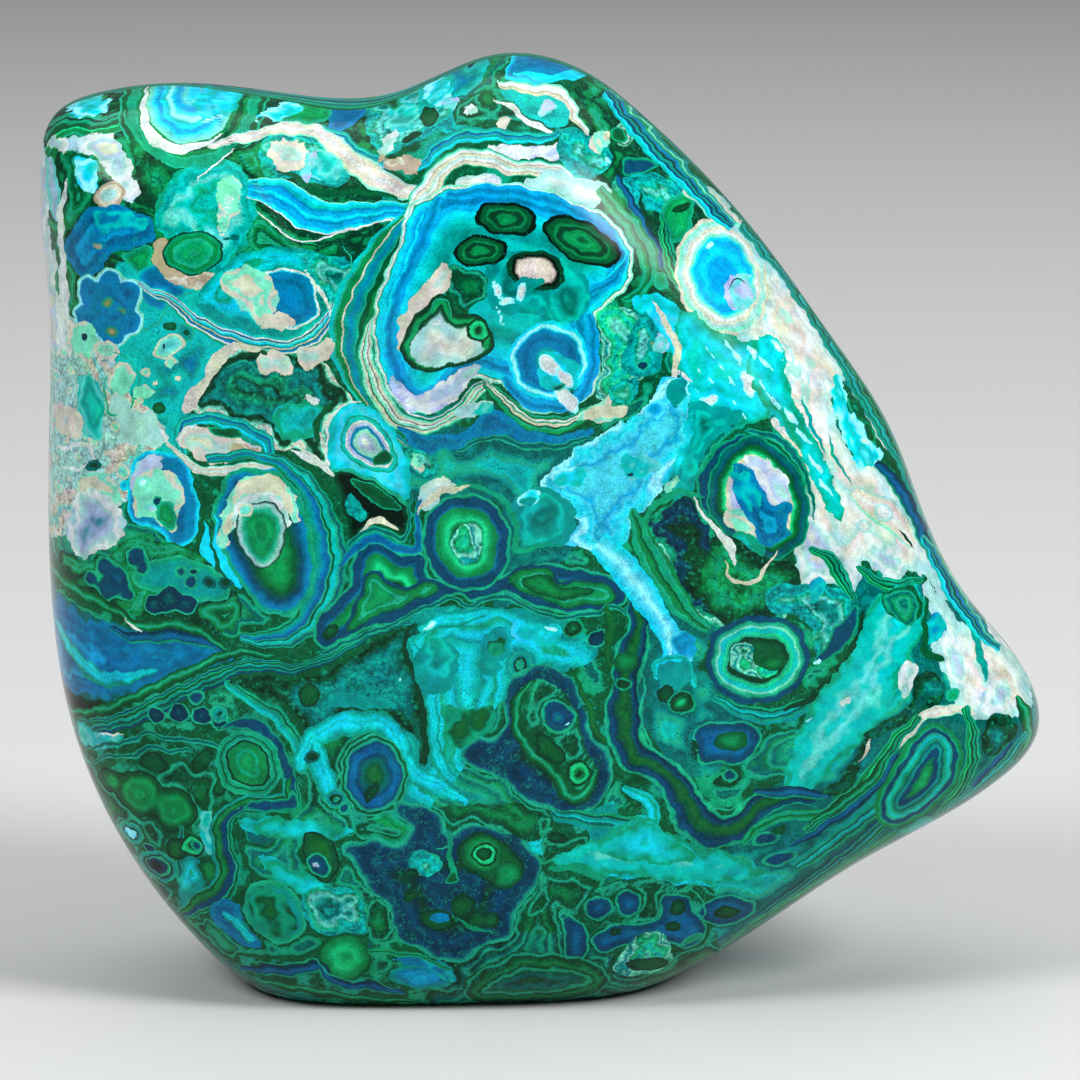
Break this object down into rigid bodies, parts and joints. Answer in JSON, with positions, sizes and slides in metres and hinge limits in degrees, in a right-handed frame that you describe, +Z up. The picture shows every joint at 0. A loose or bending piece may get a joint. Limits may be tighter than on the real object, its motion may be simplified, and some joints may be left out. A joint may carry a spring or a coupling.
{
  "type": "azurite malachite freeform",
  "caption": "Polished free-standing mineral freeform: a thick rounded slab of blue and green banded stone on a small flat base.",
  "frame": {"origin": "middle of the stone's box on the plane that its flat base stands on", "axes": "+Z up; +X to the right along the long way, seen from the front; the wide polished front face looks towards -Y"},
  "size_m": [0.12, 0.05, 0.1124],
  "materials": {
    "polished_stone": "polished"
  },
  "bodies": {
    "root": {"stone": "polished_stone"}
  },
  "joints": []
}
